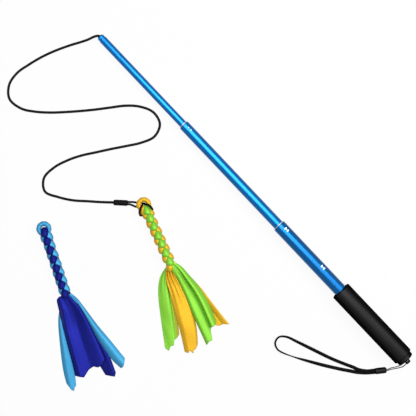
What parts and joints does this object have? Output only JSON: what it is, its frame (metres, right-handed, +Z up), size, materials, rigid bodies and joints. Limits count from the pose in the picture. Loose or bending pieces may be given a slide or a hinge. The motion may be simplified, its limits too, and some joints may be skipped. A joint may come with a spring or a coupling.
{
  "type": "dog flirt pole",
  "caption": "Telescoping flirt pole with a foam grip and wrist lanyard, a bungee line hitched to a plaited cloth lure with cloth tails, and a spare lure.",
  "frame": {"origin": "middle of the foam grip, on the pole's axis", "axes": "+X along the floor towards the pole's tip, +Y towards the lures, +Z up from the floor that everything lies on; the pole's axis dips 1.05 degrees towards its tip"},
  "size_m": [0.7222, 0.4136, 0.0334],
  "materials": {
    "blue_aluminium": "satin anodised",
    "ring_metal": "bare satin",
    "shim_plastic": "natural",
    "grip_foam": "matte foam",
    "black_plastic": "satin",
    "grommet_rubber": "matte",
    "black_cord": "braided",
    "yellow_cloth": "brushed fleece",
    "green_cloth": "brushed fleece",
    "sky_cloth": "brushed fleece",
    "navy_cloth": "brushed fleece"
  },
  "bodies": {
    "handle": {"outer_tube": "blue_aluminium", "foam_grip": "grip_foam", "end_cap": "black_plastic", "outer_mouth_ring": "ring_metal"},
    "middle_section": {"middle_tube": "blue_aluminium", "middle_shims": "shim_plastic", "middle_mouth_ring": "ring_metal"},
    "tip_section": {"tip_tube": "blue_aluminium", "tip_shims": "shim_plastic", "tip_ferrule": "blue_aluminium", "tip_grommet": "grommet_rubber", "stopper_knot": "black_cord", "bungee_line": "black_cord", "whipped_sleeve": "black_cord", "hitch_loop": "black_cord"},
    "lure": {"lure_eye": "yellow_cloth", "lure_plait_left": "yellow_cloth", "lure_plait_right": "yellow_cloth", "lure_tail_middle": "yellow_cloth", "lure_tail_under": "yellow_cloth", "lure_plait_front": "green_cloth", "lure_plait_back": "green_cloth", "lure_tail_left": "green_cloth", "lure_tail_right": "green_cloth"},
    "lanyard": {"lanyard_string": "black_cord", "lanyard_sleeve": "black_plastic", "wrist_strap": "black_cord"},
    "spare_lure": {"spare_eye": "sky_cloth", "spare_plait_left": "sky_cloth", "spare_plait_right": "sky_cloth", "spare_tail_left": "sky_cloth", "spare_tail_right": "sky_cloth", "spare_plait_front": "navy_cloth", "spare_plait_back": "navy_cloth", "spare_tail_front": "navy_cloth", "spare_tail_back": "navy_cloth"}
  },
  "joints": [
    {"name": "middle_slide", "type": "slide", "parent": "handle", "child": "middle_section", "axis": [0.9998, 0, -0.0183], "range_m": [-0.203, 0]},
    {"name": "tip_slide", "type": "slide", "parent": "middle_section", "child": "tip_section", "axis": [0.9998, 0, -0.0183], "range_m": [-0.172, 0]},
    {"name": "lure_lift", "type": "hinge", "parent": "tip_section", "child": "lure", "pos_m": [0.364, 0.126, -0.00842], "axis": [0.3256, 0.9455, 0], "range_deg": [0, 30], "deforming": ["hitch_loop"]},
    {"name": "lanyard_swing", "type": "hinge", "parent": "handle", "child": "lanyard", "pos_m": [-0.07709, 0, 0.00141], "axis": [0, 0, 1], "range_deg": [0, 180]},
    {"name": "spare_lure_lift", "type": "slide", "parent": "handle", "child": "spare_lure", "axis": [0, 0, 1], "range_m": [0, 0.15]}
  ]
}
